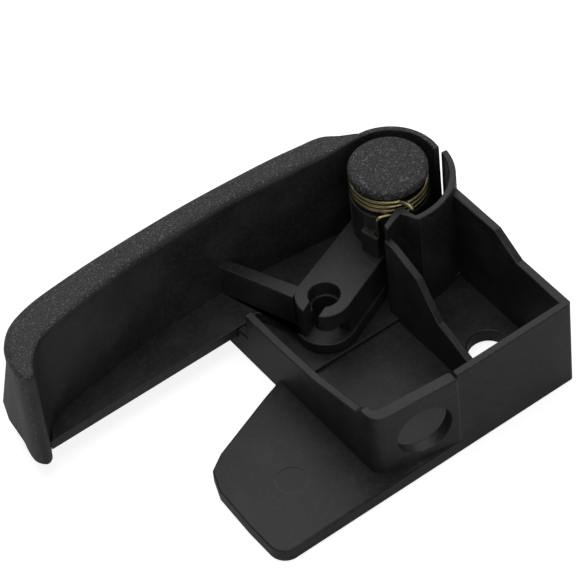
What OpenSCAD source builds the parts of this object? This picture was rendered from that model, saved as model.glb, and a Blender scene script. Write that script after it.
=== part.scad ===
// Hood release handle: a moulded bracket that is screwed to the panel under the
// dashboard, and a pull lever that swings on a headed pin above it. The lever's
// hook holds the end fitting of the release cable, whose sheath seats in the
// round hole of the bracket's front wall. A torsion spring brings the lever back.
// Millimetres. The origin lies where the pivot axis meets the mounting face,
// +Z runs up the pivot axis, the grip points along -X, the front wall faces -Y.

/* [Levels above the mounting face] */
// Thickness of the bracket's base plate
plate_t = 3.6; // [2.6:0.1:4.2]
// Top of the raised pad that the lever slides over
pad_top = 4.6; // [4.4:0.1:5.4]
// Play between the pad and the lever's underside
lever_play = 0.4; // [0.2:0.1:1]
// Top of the box walls at the right front corner
box_top = 24.5; // [21:0.5:26]
// Top of the right wall beside the shroud
side_top = 28.8; // [26:0.1:30]
// Top of the curved shroud round the hub
shroud_top = 30.6; // [29:0.1:32]

/* [Bracket plan] */
// Pivot axis to the outer face of the left wall
box_left = 40.2; // [37:0.1:46]
// Pivot axis to the outer face of the right wall
box_right = 9.9; // [8.5:0.1:11.5]
// Pivot axis to the outer face of the front wall
box_front = 49.3; // [45:0.1:54]
// Pivot axis to the free end of the screw tab
tab_end = 68.3; // [62:0.1:80]
// How far the base plate reaches behind the pivot axis
plate_back = 13; // [12.6:0.1:18]
// Wall thickness of the box
wall_t = 1.9; // [1.4:0.1:2.4]
// Thickness of the stout front wall round the cable hole
stout_t = 2.9; // [2.2:0.1:4]
// Corner radius of the tab
tab_r = 4; // [1:0.5:8]
// Outer radius of the box corner beside the tab
corner_r = 3.4; // [3.2:0.1:8]
// Angle at which the stout front wall runs back from the plate's edge
slant = 10; // [4:0.5:14]

/* [Holes] */
// Radius of the hole that the cable sheath seats in
sheath_r = 6.35; // [4:0.05:7]
// Height of the sheath hole's centre
sheath_z = 12; // [11.2:0.1:13.5]
// Pivot axis to the sheath hole, along the front wall
sheath_x = 28.9; // [26:0.1:30]
// Radius of the screw hole
screw_r = 4.4; // [2.5:0.1:5.5]
// Pivot axis to the screw hole, towards the front
screw_y = 32.6; // [28:0.1:38]

/* [Shroud] */
// Inner radius of the shroud
shroud_r = 13; // [12.8:0.1:14]
// Thickness of the shroud
shroud_t = 1.5; // [1:0.1:2]

/* [Lever] */
// Thickness of the lever's floor
floor_t = 2.6; // [1.8:0.1:3.6]
// Height of the arm and its hook, from the lever's underside
arm_h = 11.2; // [9.5:0.1:13]
// Height of the hub, from the lever's underside
hub_h = 21.6; // [20:0.1:23]
// Height of the grip, from the lever's underside
grip_h = 28.4; // [27.5:0.1:32]
// Outer radius of the hub
hub_r = 8.8; // [8.6:0.1:8.8]
// Outer radius of the thin wall that wraps the hub
wrap_r = 12.3; // [11.8:0.1:12.5]
// Thickness of the wrapping wall
wrap_t = 1.3; // [0.9:0.1:1.8]
// Pivot axis to the far end of the grip
grip_reach = 93.4; // [84:0.1:112]
// Width of the lip that the fingers pull against, in front of the grip wall
lip_y = 3.9; // [3.6:0.1:5]
// Wall of the hollow grip
skin_t = 2.2; // [1.4:0.1:3]
// Thickness of the grip's rounded top
cap_t = 2.8; // [1.8:0.1:4]

/* [Cable hook] */
// Pivot axis to the hook's centre
hook_reach = 25.1; // [22:0.1:28]
// Outer radius of the hook
hook_r = 6.4; // [5.6:0.1:7.2]
// Radius of the seat for the cable's end fitting
seat_r = 3.45; // [2.5:0.05:4]
// Depth of the seat
seat_depth = 3.6; // [2:0.1:5]
// Radius of the through hole below the seat
under_r = 2.8; // [1.8:0.1:3.2]
// Width of the hook's mouth
mouth_w = 3.5; // [2:0.1:4]

/* [Pin and spring] */
// Radius of the pin's shank
pin_r = 4; // [3:0.1:4.6]
// Radius of the bracket's post that the lever turns on
post_r = 6.2; // [5.4:0.1:6.6]
// Radius of the pin's head
head_r = 9; // [8.6:0.1:9.6]
// Thickness of the pin's head
head_t = 2.6; // [2:0.1:3.6]
// Running clearance between the pin and its holes
pin_play = 0.1; // [0.05:0.05:0.2]
// Radius of the spring wire
wire_r = 0.58; // [0.46:0.02:0.6]
// Mean radius of the coils
coil_r = 8.2; // [8:0.05:8.3]
// Number of coils
coils = 3; // [2:1:4]

/* [Hidden] */
$fn = 96;
e = 0.05;
lever_z = pad_top + lever_play;
floor_top = lever_z + floor_t;
arm_top = lever_z + arm_h;
hub_top = lever_z + hub_h;
grip_top = lever_z + grip_h;
hook_a = 196.5;
hook_c = hook_reach * [cos(hook_a), sin(hook_a)];
mouth_a = 205;
wrap_end = -12.4;
// The neck of the hub guides the coils and ends just under the pin's head
coil_pitch = 2 * wire_r + 0.1;
coil_z = hub_top + wire_r + e;
neck_top = coil_z + coil_pitch * coils + wire_r;
head_z = neck_top + 0.5;
neck_r = coil_r - wire_r - 0.9;
pin_foot = 1.2;
post_top = arm_top - 2.2;
div_x = box_right + 0.6;
div_t = 1.8;
bend_x = 20.8;
step_y = 14.6;
wall_end = 0;
rib_w = 2.9;
coil_start = -110;
lug_leg = [-7.67, -5.6];
notch_leg = [-2.1, -10.9];

// A smooth closed outline through the given points (Catmull-Rom)
function bend(p, n, k, t) =
    let (a = p[(k - 1 + n) % n], b = p[k], c = p[(k + 1) % n], d = p[(k + 2) % n])
    0.5 * (2 * b + (c - a) * t + (2 * a - 5 * b + 4 * c - d) * t * t
           + (3 * b - a - 3 * c + d) * t * t * t);
function smooth_loop(p, steps) =
    let (n = len(p)) [for (k = [0 : n - 1], s = [0 : steps - 1]) bend(p, n, k, s / steps)];
function arc(r, a0, a1, n) = [for (k = [0 : n]) let (a = a0 + (a1 - a0) * k / n) r * [cos(a), sin(a)]];

// Part of a ring between two angles, less than half a turn apart
module ring_part(r1, r0, a0, a1) {
    intersection() {
        difference() { circle(r1); circle(r0); }
        polygon([[0, 0], 3 * r1 * [cos(a0), sin(a0)], 3 * r1 * [cos((a0 + a1) / 2), sin((a0 + a1) / 2)],
            3 * r1 * [cos(a1), sin(a1)]]);
    }
}

// A cut that removes everything above a line drawn in the YZ plane, from x0 to x1
module trim_yz(x0, x1, line) {
    translate([x0, 0, 0]) rotate([90, 0, 90]) linear_extrude(x1 - x0)
        polygon(concat(line, [[line[len(line) - 1][0], 60], [line[0][0], 60]]));
}
// The same, with the line drawn in the XZ plane, from y0 to y1
module trim_xz(y0, y1, line) {
    translate([0, y1, 0]) rotate([90, 0, 0]) linear_extrude(y1 - y0)
        polygon(concat(line, [[line[len(line) - 1][0], 60], [line[0][0], 60]]));
}

// Bracket

// Outline of the base plate with its slanted screw tab
module plate_outline() {
    tab_x = -tab_end;
    difference() {
        union() {
            polygon([[box_right, -box_front], [box_right, 0], [0, plate_back - 4], [-box_left, 9],
                [-box_left, -10.9], [-45.7, -12.8], [-61.7, -19], [-65.7, -21.6], [tab_x + 0.6, -26.9],
                [tab_x, -38], [tab_x, -box_front + tab_r], [tab_x + tab_r, -box_front]]);
            circle(plate_back);
            translate([tab_x + tab_r, -box_front + tab_r]) circle(tab_r);
        }
        translate([-tab_end - 20, -box_front - 20]) square([tab_end + 60, 20]);
    }
}

// Outline of the box, with its left part set in by the given wall: the stout
// front wall runs back from the plate's edge and turns into the left wall
function corner_line(front, side, r) =
    let (cx = -box_left + side + r)
    let (cy = -box_front + front / cos(slant) + (cx + bend_x - r * sin(slant)) * -tan(slant) + r * cos(slant))
    [for (k = [0 : 8]) let (a = 270 - slant - (90 - slant) * k / 8) [cx + r * cos(a), cy + r * sin(a)]];
module box_outer() {
    polygon(concat([[box_right, 0], [box_right, -box_front], [-bend_x, -box_front]],
        corner_line(0, 0, corner_r), [[-box_left, 9], [box_right - 4, 9]]));
}
module box_inner() {
    polygon(concat([[box_right - wall_t, 20], [box_right - wall_t, -box_front + wall_t],
            [-bend_x, -box_front + wall_t], [-bend_x, -box_front + stout_t / cos(slant)]],
        corner_line(stout_t, wall_t, corner_r - wall_t), [[-box_left + wall_t, 20]]));
}

// The box walls: the right wall steps down beside the shroud, the left wall
// dips for the lever and keeps a low stop for the lever's lip
module box_walls() {
    difference() {
        translate([0, 0, plate_t - e]) linear_extrude(side_top - plate_t + e)
            difference() { box_outer(); box_inner(); }
        trim_yz(box_right - wall_t - 2, box_right + 1,
            [[-60, box_top], [-33.2, box_top], [-26, side_top], [10, side_top]]);
        trim_xz(-box_front - 1, -box_front + 8,
            [[-60, box_top - 3], [-box_left + 3, box_top - 3], [-bend_x, box_top - 1.2],
             [-bend_x + e, box_top], [box_right - wall_t - 2 + e, box_top]]);
        trim_yz(-box_left - 1, -box_left + 8,
            [[-box_front + 8 - e, box_top - 3], [-39, box_top - 5.4], [-24, 16], [-12, 15.2],
             [wall_end, 15.2], [wall_end, floor_top], [lip_y - 0.3, floor_top],
             [lip_y - 0.3, pad_top], [30, pad_top]]);
        // The back stays open for the lever
        translate([-box_left + 7, -12, plate_t]) cube([box_left + box_right + 10, 40, 60]);
    }
}

// The shroud wraps the hub, folds in to a notch that takes the spring's end,
// and runs out to the divider
module shroud() {
    ro = shroud_r + shroud_t;
    translate([0, 0, plate_t - e]) linear_extrude(shroud_top - plate_t + e) {
        ring_part(ro, shroud_r, -102, -8);
        polygon([(ro - 0.2) * [cos(98), -sin(98)], (ro - 0.2) * [cos(103), -sin(103)], [-4.4, -11.4], [-4.9, -10.3],
            [-10, -12.4], [-9.6, -10.7], [-4.3, -8.3], [-3.1, -9.2], [-2.9, -11.6],
            (shroud_r + 0.2) * [cos(101), -sin(101)], (shroud_r + 0.2) * [cos(98), -sin(98)]]);
    }
}
// The right wall runs up against the shroud and stays clear of what turns inside it
module side_link() {
    translate([0, 0, plate_t - e]) linear_extrude(side_top - plate_t + e) difference() {
        translate([box_right - wall_t, -shroud_r - 1]) square([wall_t, 5]);
        circle(shroud_r + 0.6);
    }
}

module divider() {
    difference() {
        translate([-div_x, -box_front + e, plate_t - e])
            cube([div_t, box_front - 11.6, shroud_top - plate_t]);
        trim_yz(-div_x - 1, -div_x + div_t + 1,
            [[-60, 9], [-box_front + 1, 9], [-37.8, 11.8], [-33.8, 13.5], [-29.1, 15.2], [-25.1, 20.1],
             [-22.6, 23.7], [-14.6, 26.7], [-11, 27.2]]);
    }
}

module bracket() {
    color("#1c1c1e") difference() {
        union() {
            linear_extrude(plate_t) plate_outline();
            // Raised pad under the lever
            translate([0, 0, plate_t - e]) linear_extrude(pad_top - plate_t + e) difference() {
                intersection() {
                    plate_outline();
                    translate([-box_left, -step_y]) square([box_left + box_right, 60]);
                }
                translate([-div_x + div_t, -60]) square([30, 60 - shroud_r]);
            }
            box_walls();
            shroud();
            side_link();
            divider();
            // Post that the lever turns on
            cylinder(h = post_top, r = post_r);
        }
        // Hole for the cable's sheath, square to the stout wall
        translate([-sheath_x, -box_front + (sheath_x - bend_x) * tan(slant), sheath_z])
            rotate([90, 0, -slant]) translate([0, 0, -8]) cylinder(h = 16, r = sheath_r);
        // Screw hole
        translate([(box_right - wall_t - div_x + div_t) / 2, -screw_y, -1]) cylinder(h = 8, r = screw_r);
        // Blind bore that the pin is pressed into
        translate([0, 0, pin_foot]) cylinder(h = 40, r = pin_r);
        // Shallow mould mark on the tab
        translate([-54.4, -34.5, plate_t - 0.15]) cylinder(h = 1, r = 3.5);
    }
}

// Lever

// Plan of the grip: it leaves the hub as a thin wall, widens into a hand-filling
// bow and turns forward at its free end
function far(p) = [p[0] > -60 ? p[0] : -60 + (p[0] + 60) * (grip_reach - 60) / 33.4, p[1]];
module grip_plan() {
    polygon(smooth_loop([for (p = [
        [1.5, wrap_r - 0.1], [-1.8, 14.3], [-5.3, 17], [-10.5, 18.3], [-20.5, 19.6], [-40, 20.7], [-59, 20.6],
        [-72, 19.9], [-81, 18.8], [-87, 16.6], [-90.9, 12.8], [-92.6, 8.6], [-93.4, 3.8], [-92, 1.3],
        [-90.3, 1.8], [-89, 4], [-87, 6.4], [-84, 8.6], [-80, 9.9], [-74, 10.9], [-64, 12.5],
        [-53.5, 13.7], [-34, 14.2], [-16, 12.6], [-7, 11.5], [-2, 11.2], [1.5, 11]])
        far(p)], 6));
}
// Its free end flares out below the rim, to a tight corner at the foot
module grip_flare() {
    foot = [[-73, 19.4], [-89.8, 21.6], [-91.6, 16.5], [-92.8, 6.4], [-88, 11]];
    rim = [[-77, 19], [-81, 18.4], [-86.8, 16.2], [-90.5, 12.6], [-92.1, 8.6], [-88, 11]];
    hull() {
        translate([0, 0, lever_z + 0.4]) linear_extrude(0.4) polygon([for (p = foot) far(p)]);
        translate([0, 0, grip_top - 3.4]) linear_extrude(0.4) polygon([for (p = rim) far(p)]);
    }
}

// The arm between the hub and the hook
module arm_plan(grow) {
    n = [cos(hook_a + 90), sin(hook_a + 90)];
    u = [cos(hook_a), sin(hook_a)];
    circle(hub_r);
    translate(hook_c) circle(hook_r + grow);
    polygon([-n * (hub_r - 0.4), hook_c - n * (hook_r + grow), hook_c, u * 4, hook_c + n * 0.2,
        hook_c + n * (hook_r + grow), 11.8 * u + n * (4.9 + grow) , 9 * u + n * 4.4]);
}

// The floor ties the grip, the rib, the arm and the wrapping wall together
module floor_plan() {
    grip_plan();
    arm_plan(0.6);
    polygon([[-89, lip_y], [-38, lip_y], [-34.2, lip_y + 0.9], [-29.8, -3.4], hook_c, [0, 0], [1.5, wrap_r - 0.3],
        [-9, 14], [-34, 16], [-60, 16], [-76, 13], [-84, 10]]);
    polygon(concat([[0, 0]], arc(wrap_r - 0.15, wrap_end + 2, 180, 48)));
}

module lever() {
    color("#1e1e20") difference() {
        union() {
            translate([0, 0, lever_z]) linear_extrude(floor_t) floor_plan();
            // Hollow grip with a thick rounded top
            translate([0, 0, lever_z]) linear_extrude(grip_h) grip_plan();
            grip_flare();
            translate([0, 0, lever_z]) linear_extrude(arm_h) arm_plan(0);
            // Rib from the hook to the grip
            translate([0, 0, lever_z]) linear_extrude(arm_h)
                polygon([[-34, 15], [-34 - rib_w, 15], [-26.9 - rib_w, -3.4], [-26.4, -2.2]]);
            cylinder_between(hub_r, lever_z, hub_top);
            cylinder_between(neck_r, hub_top - e, neck_top);
            // Thin wall that wraps the hub
            translate([0, 0, lever_z]) linear_extrude(grip_h) ring_part(wrap_r, wrap_r - wrap_t, wrap_end, 92);
            // Lug that holds the spring's end
            translate([0, 0, arm_top - e]) linear_extrude(6.2 + e)
                polygon([[-8, -1.7], [-10.1, -2.3], [-9.1, -7], [-6, -5.9]]);
        }
        // The grip is cored out from below
        translate([0, 0, lever_z - 1]) linear_extrude(grip_h - cap_t + 1) core_plan();
        // Seat, through hole and mouth of the cable hook
        translate([hook_c[0], hook_c[1], arm_top - seat_depth]) cylinder(h = 20, r = seat_r);
        translate([hook_c[0], hook_c[1], 0]) cylinder(h = 40, r = under_r);
        translate([hook_c[0], hook_c[1], floor_top]) rotate([0, 0, mouth_a])
            translate([0, -mouth_w / 2, 0]) cube([12, mouth_w, 30]);
        // Way for the cable below the front jaw
        translate([hook_c[0], hook_c[1], floor_top]) linear_extrude(4.6)
            polygon([[0, 0], 14 * [cos(mouth_a), sin(mouth_a)], 14 * [cos(245), sin(245)],
                14 * [cos(288), sin(288)]]);
        // Bore of the lug
        translate([lug_leg[0], lug_leg[1], arm_top + 1]) cylinder(h = 8, r = wire_r + 0.06);
        // Bore over the bracket's post, and a narrower one for the pin
        translate([0, 0, -1]) cylinder(h = 60, r = pin_r + pin_play);
        cylinder_between(post_r + pin_play, -1, post_top + 0.3);
    }
}
module cylinder_between(r, z0, z1) { translate([0, 0, z0]) cylinder(h = z1 - z0, r = r); }

// Inside of the grip, one wall thickness in from its outline
module core_plan() {
    intersection() {
        offset(delta = -skin_t) grip_plan();
        translate([-grip_reach + 4.5, -10]) square([grip_reach - 20, 60]);
    }
}

// Pivot pin: slightly domed head with a rounded edge, and a plain shank
module pivot_pin() {
    color("#262628") rotate_extrude() polygon([
        [0, pin_foot], [pin_r - 0.5, pin_foot], [pin_r, pin_foot + 0.5], [pin_r, head_z], [head_r - 0.7, head_z], [head_r - 0.15, head_z + 0.45], [head_r, head_z + 1.1],
        [head_r - 0.1, head_z + head_t * 0.62], [head_r - 0.6, head_z + head_t * 0.84],
        [head_r - 1.6, head_z + head_t * 0.95], [head_r - 4, head_z + head_t], [0, head_z + head_t]]);
}

// Torsion spring: close coils round the hub's neck, one bent end in the bore of
// the lever's lug and the other in the shroud's notch
module wire(a, b) {
    d = b - a;
    l = norm(d);
    translate(a) rotate([0, acos(d[2] / l), atan2(d[1], d[0])]) cylinder(h = l, r = wire_r, $fn = 24);
}
// A rounded corner of the wire, turned so that its seam faces away from the wires
module elbow(p, seam) { translate(p) rotate([0, 0, seam]) sphere(wire_r * 1.08, $fn = 24); }
// One coil is two half rings, tilted so that each climbs half a pitch
module coil_half() {
    tilt = atan(coil_pitch / 4 / coil_r);
    rotate([0, tilt, 0]) rotate_extrude(angle = 180) translate([coil_r / cos(tilt), 0]) circle(wire_r, $fn = 24);
}
module spring() {
    top = coil_z + coil_pitch * coils;
    color("#b59a4a") {
        rotate([0, 0, coil_start]) for (k = [0 : 2 * coils - 1])
            translate([0, 0, coil_z + (k + 0.5) * coil_pitch / 2]) rotate([0, 0, 180 * k]) coil_half();
        low = [coil_r * cos(coil_start), coil_r * sin(coil_start), coil_z];
        high = [low[0], low[1], top];
        lug = [lug_leg[0], lug_leg[1], coil_z];
        notch = [notch_leg[0], notch_leg[1], top];
        elbow(low, coil_start - 2);
        wire(low, lug);
        elbow(lug, coil_start - 93);
        wire(lug, [lug[0], lug[1], arm_top + 1.2]);
        elbow(high, 0);
        wire(high, notch);
        elbow(notch, coil_start + 30);
        wire(notch, [notch[0], notch[1], top - 5]);
    }
}

bracket();
lever();
pivot_pin();
spring();
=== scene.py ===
"""Looks of a hood release handle: a black moulded bracket, a pull lever on a
headed pin, and a plated torsion spring."""

from math import cos, pi, radians, sin, tan

import bmesh
import bpy
from mathutils import Matrix, Vector


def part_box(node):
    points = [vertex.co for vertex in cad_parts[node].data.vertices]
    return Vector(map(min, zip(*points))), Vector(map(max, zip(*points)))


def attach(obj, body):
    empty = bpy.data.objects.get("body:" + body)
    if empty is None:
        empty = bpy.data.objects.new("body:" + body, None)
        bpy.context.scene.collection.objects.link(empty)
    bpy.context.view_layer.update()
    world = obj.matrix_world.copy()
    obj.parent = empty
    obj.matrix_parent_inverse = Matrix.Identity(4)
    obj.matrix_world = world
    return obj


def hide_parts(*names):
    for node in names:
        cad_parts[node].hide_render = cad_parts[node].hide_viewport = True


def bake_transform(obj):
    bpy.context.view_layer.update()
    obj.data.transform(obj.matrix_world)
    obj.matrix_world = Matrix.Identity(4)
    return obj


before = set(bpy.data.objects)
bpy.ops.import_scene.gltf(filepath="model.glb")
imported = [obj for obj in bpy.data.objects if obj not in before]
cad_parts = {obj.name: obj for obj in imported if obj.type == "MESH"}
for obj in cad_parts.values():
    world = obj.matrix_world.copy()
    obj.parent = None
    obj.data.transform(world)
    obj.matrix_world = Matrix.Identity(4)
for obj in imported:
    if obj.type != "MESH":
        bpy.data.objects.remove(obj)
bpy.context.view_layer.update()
MM = 0.001

# Bracket
# One black injection moulding, satin from the mould, with a box of thin walls on
# a flat base plate. Its edges are slightly rounded, as the steel of a mould is.


class Value:
    """A socket of a finish. Sums on it add Math nodes."""

    def __init__(self, finish, socket):
        self.finish = finish
        self.socket = socket

    def math(self, operation, first, second):
        return self.finish.add("ShaderNodeMath", {"operation": operation}, {0: first, 1: second})

    def __add__(self, other):
        return self.math("ADD", self, other)

    def __radd__(self, other):
        return self.math("ADD", other, self)

    def __sub__(self, other):
        return self.math("SUBTRACT", self, other)

    def __rsub__(self, other):
        return self.math("SUBTRACT", other, self)

    def __mul__(self, other):
        return self.math("MULTIPLY", self, other)

    def __rmul__(self, other):
        return self.math("MULTIPLY", other, self)

    def __abs__(self):
        return self.math("ABSOLUTE", self, 0.0)


class Finish:
    """A material with one method that adds any node to it."""

    def __init__(self, name):
        self.material = bpy.data.materials.new(name)
        self.material.use_nodes = True
        self.tree = self.material.node_tree
        self.tree.nodes.clear()
        self.place = self.add("ShaderNodeTexCoord", output="Object")

    def add(self, kind, settings=None, sockets=None, output=0):
        node = self.tree.nodes.new(kind)
        for name, value in (settings or {}).items():
            setattr(node, name, value)
        for name, value in (sockets or {}).items():
            if isinstance(value, Value):
                self.tree.links.new(value.socket, node.inputs[name])
            else:
                node.inputs[name].default_value = value
        return Value(self, node.outputs[output]) if node.outputs else None

    def noise(self, size_mm, detail=2.0, roughness=0.5):
        """Cloudy noise whose lumps are about this wide."""
        return self.add(
            "ShaderNodeTexNoise",
            {},
            {"Vector": self.place, "Scale": 1 / (size_mm * MM), "Detail": detail, "Roughness": roughness},
            "Fac",
        )

    def step(self, value, low, high, to_low=0.0, to_high=1.0):
        """A smooth step of a value from one level to another."""
        return self.add(
            "ShaderNodeMapRange",
            {"interpolation_type": "SMOOTHSTEP"},
            {"Value": value, "From Min": low, "From Max": high, "To Min": to_low, "To Max": to_high},
        )

    def line(self, distance, core_mm, fade_mm):
        """1 where a distance is inside the line's core, 0 where the line has faded."""
        return self.step(abs(distance), core_mm * MM, fade_mm * MM, 1.0, 0.0)

    def blend(self, mask, first, second):
        """One colour where the mask is 0, the other where it is 1."""
        return self.add("ShaderNodeMix", {"data_type": "RGBA"}, {0: mask, 6: first, 7: second}, 2)

    def bump(self, height, depth_mm, strength=1.0):
        """A normal that follows a height."""
        return self.add(
            "ShaderNodeBump", {}, {"Height": height, "Distance": depth_mm * MM, "Strength": strength}
        )

    def show(self, **sockets):
        """Ends the finish in a Principled shader with these sockets."""
        shader = self.add("ShaderNodeBsdfPrincipled", {}, sockets)
        self.add("ShaderNodeOutputMaterial", {}, {"Surface": shader})
        return self.material


BLACK = (0.0135, 0.0135, 0.0145, 1)
WORN_BLACK = (0.042, 0.042, 0.043, 1)
LINE_HIGHLIGHT_BLACK = (0.055, 0.055, 0.057, 1)


def smooth_plastic(name, shine, lines_of=None):
    """Satin black plastic with faint flow marks, a soft orange peel and, where
    lines_of gives them, painted highlights along the fine lines that the parts of the mould leave."""
    finish = Finish(name)
    flow = finish.noise(size_mm=9, detail=3)
    peel = finish.noise(size_mm=0.8, detail=3)
    dust = finish.step(finish.noise(size_mm=0.35, detail=1), 0.64, 0.74)
    marks = finish.step(flow, 0.4, 0.7) * 0.4 + finish.step(peel, 0.4, 0.8) * 0.5 + dust * 0.3
    tint = finish.blend(marks, BLACK, WORN_BLACK)
    # The mould's lines are painted lighter. This is a painted highlight where the seam's ridge and the
    # ring's rim catch the light.
    if lines_of:
        tint = finish.blend(lines_of(finish), tint, LINE_HIGHLIGHT_BLACK)
    return finish.show(
        **{
            "Base Color": tint,
            "Roughness": 0.36 + flow * 0.12 + peel * 0.12,
            "Normal": finish.bump(peel + flow * 2.0, depth_mm=0.04, strength=0.7),
            "Specular IOR Level": shine,
        }
    )


def in_scene(name, data):
    """A new object in the scene."""
    thing = bpy.data.objects.new(name, data)
    bpy.context.scene.collection.objects.link(thing)
    return thing


def new_piece(name, mesh, body, slot, *materials):
    """Shows a mesh as a piece that rides on a body."""
    piece = in_scene(name, mesh)
    for material in materials:
        mesh.materials.append(material)
    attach(piece, body)
    return piece


def mesh_from(work, name):
    """Ends a bmesh and gives the mesh that it holds."""
    mesh = bpy.data.meshes.new(name)
    work.to_mesh(mesh)
    work.free()
    return mesh


# Rounding in mm that an edge's bevel weight of 1 stands for
WIDEST = 2.4
SAME_SPOT = 0.004 * MM
SLIVER = 0.01 * MM
FLAT = radians(0.5)
CREASE = radians(24)


def rounded_copy(node, width_of, grained=None):
    """A copy of a node's mesh with its flat faces joined. Its outer edges are
    weighted by the width in mm that width_of gives them, inner ones stay sharp."""
    work = bmesh.new()
    work.from_mesh(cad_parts[node].data)
    bmesh.ops.remove_doubles(work, verts=work.verts, dist=SAME_SPOT)
    bmesh.ops.dissolve_limit(
        work, angle_limit=FLAT, use_dissolve_boundaries=False, verts=work.verts, edges=work.edges
    )
    bmesh.ops.dissolve_degenerate(work, dist=SLIVER, edges=work.edges)
    weight = work.edges.layers.float.new("bevel_weight_edge")
    for edge in work.edges:
        edge.smooth = edge.calc_face_angle() < CREASE
        if edge.is_convex and not edge.smooth:
            a, b = (v.co / MM for v in edge.verts)
            edge[weight] = min(1, width_of((a + b) / 2) / WIDEST)
    for face in work.faces:
        face.smooth = True
        if grained and grained(face.calc_center_median() / MM, face.normal):
            face.material_index = 1
    return mesh_from(work, node)


def round_edges(piece, segments):
    """Rounds a piece's weighted edges."""
    bevel = piece.modifiers.new("rounding", "BEVEL")
    bevel.limit_method = "WEIGHT"
    bevel.width = WIDEST * MM
    bevel.segments = segments
    bevel.use_clamp_overlap = False
    bevel.harden_normals = True
    bevel.miter_outer = "MITER_SHARP"


plate_top = 3.6
front_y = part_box("bracket")[0].y / MM
mould_mark = Vector((-54.4, -34.5, plate_top))
mark_r = 3.5
seam_x = -20.9
wall_round = 0.3
plate_round = 0.45
corner_round = 1.2


def bracket_lines(finish):
    """The seam between two slides on the front wall, and an ejector's ring, drawn as lines of painted
    highlight where they catch the light.
    """
    x, y, z = (finish.add("ShaderNodeSeparateXYZ", {}, {"Vector": finish.place}, axis) for axis in "XYZ")
    on_front = finish.step(y, (front_y + 0.3) * MM, (front_y + 0.5) * MM, 1.0, 0.0)
    above_plate = finish.step(z, plate_top * MM, (plate_top + 0.4) * MM)
    seam = finish.line(x - seam_x * MM, core_mm=0.08, fade_mm=0.2) * on_front * above_plate
    reach = finish.add(
        "ShaderNodeVectorMath", {"operation": "DISTANCE"}, {0: finish.place, 1: mould_mark * MM}, "Value"
    )
    ring = finish.line(reach - mark_r * MM, core_mm=0.05, fade_mm=0.16)
    return seam + ring * 0.7


def bracket_edge(p):
    """The upright front corner is rounded most, and the mould mark stays sharp."""
    if (p - mould_mark).length < mark_r + 0.5:
        return 0
    if abs(p.y - front_y) < 0.1 and p.x > 9 and plate_top < p.z < 20:
        return corner_round
    return wall_round if p.z > plate_top else plate_round


satin_black = smooth_plastic("satin_black", 0.4, bracket_lines)
bracket = new_piece(
    "bracket_moulding",
    rounded_copy("bracket", bracket_edge),
    "base",
    "bracket_plastic",
    satin_black,
)
round_edges(bracket, 2)
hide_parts("bracket")

# Lever
# One black moulding too. The hand only meets the grained top and back of the
# grip, whose rim is rounded over; the rest is plain satin from the mould.

GRAIN_PEAK = (0.11, 0.108, 0.111, 1)


def grained_plastic(name, size_mm, depth_mm):
    """Black plastic with the eroded grain that hides wear."""
    finish = Finish(name)
    grain = finish.step(finish.noise(size_mm, detail=3, roughness=0.6), 0.42, 0.62)
    flow = finish.noise(size_mm=8)
    return finish.show(
        **{
            "Base Color": finish.blend(grain * 0.8 + flow * 0.2, BLACK, GRAIN_PEAK),
            "Roughness": 0.42 + grain * 0.1 + flow * 0.06,
            "Normal": finish.bump(grain, depth_mm),
            "Specular IOR Level": 0.5,
        }
    )


def ramp(value, low, high):
    """0 below one level, 1 above the other, and a straight line between."""
    return min(1, max(0, (value - low) / (high - low)))


grip_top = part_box("lever")[1].z / MM
lever_floor = 7.6
arm_top = 16.2
arm_turn = radians(196.5)
along_arm = Vector((cos(arm_turn), sin(arm_turn), 0))
across_arm = Vector((-sin(arm_turn), cos(arm_turn), 0))
slit_start, slit_end = 8.5, 19.2
rim_round = 1.7


def lever_edge(p):
    """The rim is rounded most along the bow and less at its two ends. The edges
    of the arm's slit stay sharp."""
    if abs(p.dot(across_arm)) < 0.3 and slit_start < p.dot(along_arm) < slit_end:
        return 0
    if abs(p.z - grip_top) > 0.05 or p.x > 2 or p.y < 0:
        return wall_round
    near_hub = 1 - ramp(-p.x, 1, 13)
    near_tip = 1 - max(ramp(p.y, 2.5, 12), ramp(p.x, -84, -76))
    return rim_round - 1.3 * near_hub - 0.85 * near_tip


def held_by_hand(p, normal):
    """True for the grip's rim, its back and its free end."""
    on_rim = abs(p.z - grip_top) < 0.05 and p.x < 1
    on_back = normal.y > 0.3
    on_end = normal.x < -0.6 and p.x < -80
    return p.y > 2 and (on_rim or on_back or on_end)


smooth_black = smooth_plastic("smooth_black", 0.5)
grained_black = grained_plastic("grained_black", size_mm=0.5, depth_mm=0.16)
lever = new_piece(
    "lever_moulding",
    rounded_copy("lever", lever_edge, held_by_hand),
    "pull",
    "lever_plastic",
    smooth_black,
    grained_black,
)
round_edges(lever, 4)
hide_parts("lever")

# The arm is solid: a fine slit that the lever's solid has along its middle is
# filled by a thin block, which stays inside the arm
slit_middle = along_arm * (slit_start + slit_end) / 2 + across_arm * 0.05
slit_middle.z = (lever_floor + arm_top) / 2
filling_size = (slit_end - slit_start, 0.3, arm_top - lever_floor + 0.01)
place = Matrix.Translation(slit_middle) @ Matrix.Rotation(arm_turn, 4, "Z")
work = bmesh.new()
bmesh.ops.create_cube(work, size=1, matrix=Matrix.Scale(MM, 4) @ place @ Matrix.Diagonal((*filling_size, 1)))
new_piece("arm_filling", mesh_from(work, "arm_filling"), "pull", "lever_plastic", smooth_black)

# Pivot pin
# A turned-looking black pin that is pressed into the bracket's post. Only its
# broad grained head shows, slightly domed and rounded over at the edge.

pin_low, pin_high = (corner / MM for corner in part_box("pivot_pin"))
head_r = pin_high.x - 0.25
head_top = pin_high.z
head_under = head_top - 2.6
under_r = 0.3
edge_r = 1.2
dome = 0.35
dome_steps = 8
shank_r = 4.0
shank_chamfer = 0.5


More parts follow.
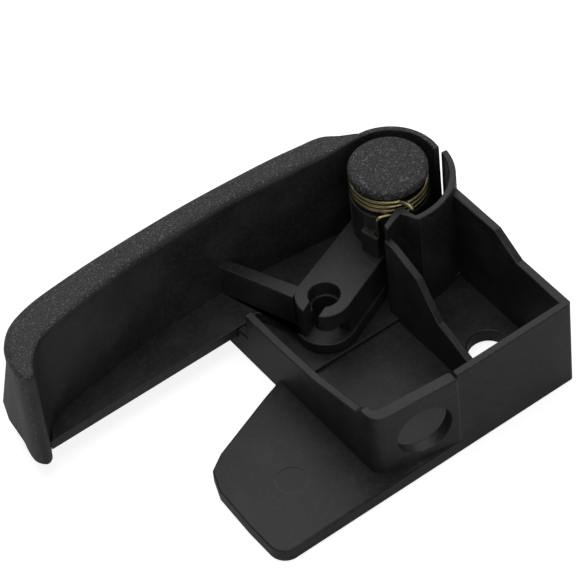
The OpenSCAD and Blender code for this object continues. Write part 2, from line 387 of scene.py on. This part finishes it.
def turned(profile, steps):
    """A closed solid of revolution round the pivot axis from (r, z) points in mm."""
    work = bmesh.new()
    points = [work.verts.new((r * MM, 0, z * MM)) for r, z in profile]
    edges = [work.edges.new(pair) for pair in zip(points, points[1:])]
    bmesh.ops.spin(
        work, geom=points + edges, axis=(0, 0, 1), cent=(0, 0, 0), angle=2 * pi, steps=steps, use_merge=True
    )
    bmesh.ops.remove_doubles(work, verts=work.verts, dist=0.001 * MM)
    bmesh.ops.recalc_face_normals(work, faces=work.faces)
    for face in work.faces:
        face.smooth = True
    return work


def arc(r, z, radius, start, end, steps):
    """Points of an arc in the profile plane, angles in degrees."""
    turns = [radians(start + (end - start) * k / steps) for k in range(steps + 1)]
    return [(r + radius * cos(a), z + radius * sin(a)) for a in turns]


profile = [
    (0, pin_low.z),
    (shank_r - shank_chamfer, pin_low.z),
    (shank_r, pin_low.z + shank_chamfer),
    (shank_r, head_under),
]
profile += arc(head_r - under_r, head_under + under_r, under_r, -90, 0, 3)
profile += arc(head_r - edge_r, head_top - dome - edge_r, edge_r, 0, 82, 7)
for k in range(1, dome_steps + 1):
    outwards = 1 - k / dome_steps
    profile.append((head_r * outwards * 0.88, head_top - dome * outwards**2 * 0.9))
coarse_black = grained_plastic("coarse_black", size_mm=0.6, depth_mm=0.25)
pin_mesh = mesh_from(turned(profile, 96), "pivot_pin")
pin = new_piece("pin_with_head", pin_mesh, "base", "pin_plastic", coarse_black)
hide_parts("pivot_pin")

# Torsion spring
# Yellow-plated spring wire wound in close coils on the hub's neck. One end is
# bent down into the lever's lug, the other hooks into the shroud's notch.

wire_r = 0.58
coil_r = 8.2
coil_start = radians(-110)
coil_pitch = 2 * wire_r + 0.1
coils = 3
coil_steps = 72
coil_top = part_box("spring")[1].z / MM - wire_r * 1.08
coil_low = coil_top - coils * coil_pitch
lug_leg = Vector((-7.67, -5.6, coil_low))
notch_leg = Vector((-2.1, -10.9, coil_top))
lug_leg_length = Vector((0, 0, 9.8))
notch_leg_length = Vector((0, 0, 5))
last_bit = 0.03
ZINC = (0.48, 0.39, 0.20, 1)
DULL_ZINC = (0.32, 0.27, 0.17, 1)


def plated_wire():
    """Yellow zinc on drawn wire, duller in patches."""
    finish = Finish("yellow_zinc")
    patches = finish.noise(size_mm=1.6)
    return finish.show(
        **{
            "Base Color": finish.blend(finish.step(patches, 0.35, 0.7), ZINC, DULL_ZINC),
            "Metallic": 1.0,
            "Roughness": 0.22 + patches * 0.16,
            "Normal": finish.bump(patches, depth_mm=0.01),
        }
    )


yellow_zinc = plated_wire()


def wire_piece(name, points, body):
    """Round wire along points in mm, as a mesh."""
    curve = bpy.data.curves.new(name, "CURVE")
    curve.dimensions = "3D"
    curve.bevel_depth = wire_r * MM
    curve.bevel_resolution = 4
    curve.use_fill_caps = True
    line = curve.splines.new("POLY")
    line.points.add(len(points) - 1)
    for point, spot in zip(line.points, points):
        point.co = (*(spot * MM), 1)
    holder = bpy.data.objects.new(name, curve)
    mesh = bpy.data.meshes.new_from_object(holder)
    bpy.data.objects.remove(holder)
    for face in mesh.polygons:
        face.use_smooth = True
    mesh.materials.clear()
    piece = in_scene(name, mesh)
    mesh.materials.append(yellow_zinc)
    if body:
        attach(piece, body)
    return piece


def bent(corners, radius, steps=8):
    """A path through corners in mm, each turned into a bend of this radius."""
    path = [corners[0]]
    for before, corner, after in zip(corners, corners[1:], corners[2:]):
        back, on = (before - corner).normalized(), (after - corner).normalized()
        half = (pi - back.angle(on)) / 2
        reach = radius * tan(half)
        start, end = corner + back * reach, corner + on * reach
        for k in range(steps + 1):
            t = k / steps
            path.append(start * (1 - t) ** 2 + corner * 2 * t * (1 - t) + end * t**2)
    return path + [corners[-1]]


def coil_point(turns):
    """The middle of the wire after so many turns up from the low end."""
    a = coil_start + 2 * pi * turns
    return Vector((coil_r * cos(a), coil_r * sin(a), coil_low + coil_pitch * turns))


winding = [coil_point(k / coil_steps) for k in range(coils * coil_steps + 1)]
coil_piece = wire_piece("spring_coils", winding, None)
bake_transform(coil_piece)
wire_piece(
    "spring_leg_at_lug",
    bent([coil_point(last_bit), coil_point(0), lug_leg, lug_leg - lug_leg_length], 1.0),
    "pull",
)
wire_piece(
    "spring_leg_in_notch",
    bent([coil_point(coils - last_bit), coil_point(coils), notch_leg, notch_leg - notch_leg_length], 0.8),
    "base",
)
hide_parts("spring")

# Floor, light and camera
# The handle lies on its mounting face on a white sheet under broad soft boxes,
# and is seen from above its cable box, as in the product picture.

floor_half = 4
floor_z = -0.0002
WHITE = (1, 1, 1, 1)
PAPER = (0.55, 0.55, 0.55, 1)


def white_floor():
    """White paper that shows a pale shadow."""
    finish = Finish("white_floor")
    seen = finish.add("ShaderNodeLightPath", output="Is Camera Ray")
    mirrored = finish.add("ShaderNodeLightPath", output="Is Glossy Ray")
    paper = finish.add("ShaderNodeBsdfDiffuse", {}, {"Color": PAPER})
    glow = finish.add("ShaderNodeEmission", {}, {"Color": WHITE, "Strength": 0.82 * seen + 0.1 * mirrored})
    both = finish.add("ShaderNodeAddShader", {}, {0: paper, 1: glow})
    finish.add("ShaderNodeOutputMaterial", {}, {"Surface": both})
    return finish.material


work = bmesh.new()
bmesh.ops.create_grid(work, x_segments=1, y_segments=1, size=floor_half)
bmesh.ops.translate(work, verts=work.verts, vec=(0, 0, floor_z))
floor = in_scene("floor", mesh_from(work, "floor"))
floor.data.materials.append(white_floor())

world = bpy.data.worlds.new("studio")
bpy.context.scene.world = world
world.use_nodes = True
sky = world.node_tree.nodes["Background"].inputs
sky["Color"].default_value = WHITE
sky["Strength"].default_value = 0.16

lit_spot = Vector((-0.04, -0.01, 0.01))


def soft_box(name, bearing, height, distance, size, power):
    """A square soft light that looks at the handle from a compass bearing."""
    lamp = bpy.data.lights.new(name, "AREA")
    lamp.shape = "SQUARE"
    lamp.size = size
    lamp.energy = power
    holder = in_scene(name, lamp)
    a, b = radians(bearing), radians(height)
    outwards = Vector((sin(a) * cos(b), cos(a) * cos(b), sin(b)))
    holder.location = lit_spot + outwards * distance
    holder.rotation_euler = (-outwards).to_track_quat("-Z", "Y").to_euler()


soft_box("overhead_box", bearing=250, height=80, distance=1.0, size=0.5, power=1.8)
soft_box("back_box", bearing=31, height=50, distance=1.0, size=1.0, power=3.9)
soft_box("front_box", bearing=190, height=35, distance=1.0, size=0.8, power=1.8)

# The view was worked out from circles and straight edges in the picture
bearing = radians(31.505)
elevation = radians(48.128)
roll = radians(6.992)
focal_px = 3400.0
image_px = 577.0
middle_px = image_px / 2
origin_px = (396.550, 271.023)
origin_distance = 0.751463

forward = Vector((sin(bearing) * cos(elevation), cos(bearing) * cos(elevation), -sin(elevation)))
level_right = Vector((cos(bearing), -sin(bearing), 0))
level_up = level_right.cross(forward)
right = level_right * cos(roll) - level_up * sin(roll)
up = level_right * sin(roll) + level_up * cos(roll)
right_of_middle = (origin_px[0] - middle_px) / focal_px
below_middle = (origin_px[1] - middle_px) / focal_px
to_origin = forward + right * right_of_middle - up * below_middle
camera_data = bpy.data.cameras.new("camera")
camera_data.sensor_width = 36
camera_data.lens = focal_px / image_px * camera_data.sensor_width
camera_data.clip_start = 0.05
camera = in_scene("camera", camera_data)
turn = Matrix((right, up, -forward)).transposed()
camera.matrix_world = Matrix.Translation(-to_origin * origin_distance) @ turn.to_4x4()
bpy.context.scene.camera = camera
bpy.context.scene.view_settings.view_transform = "Standard"
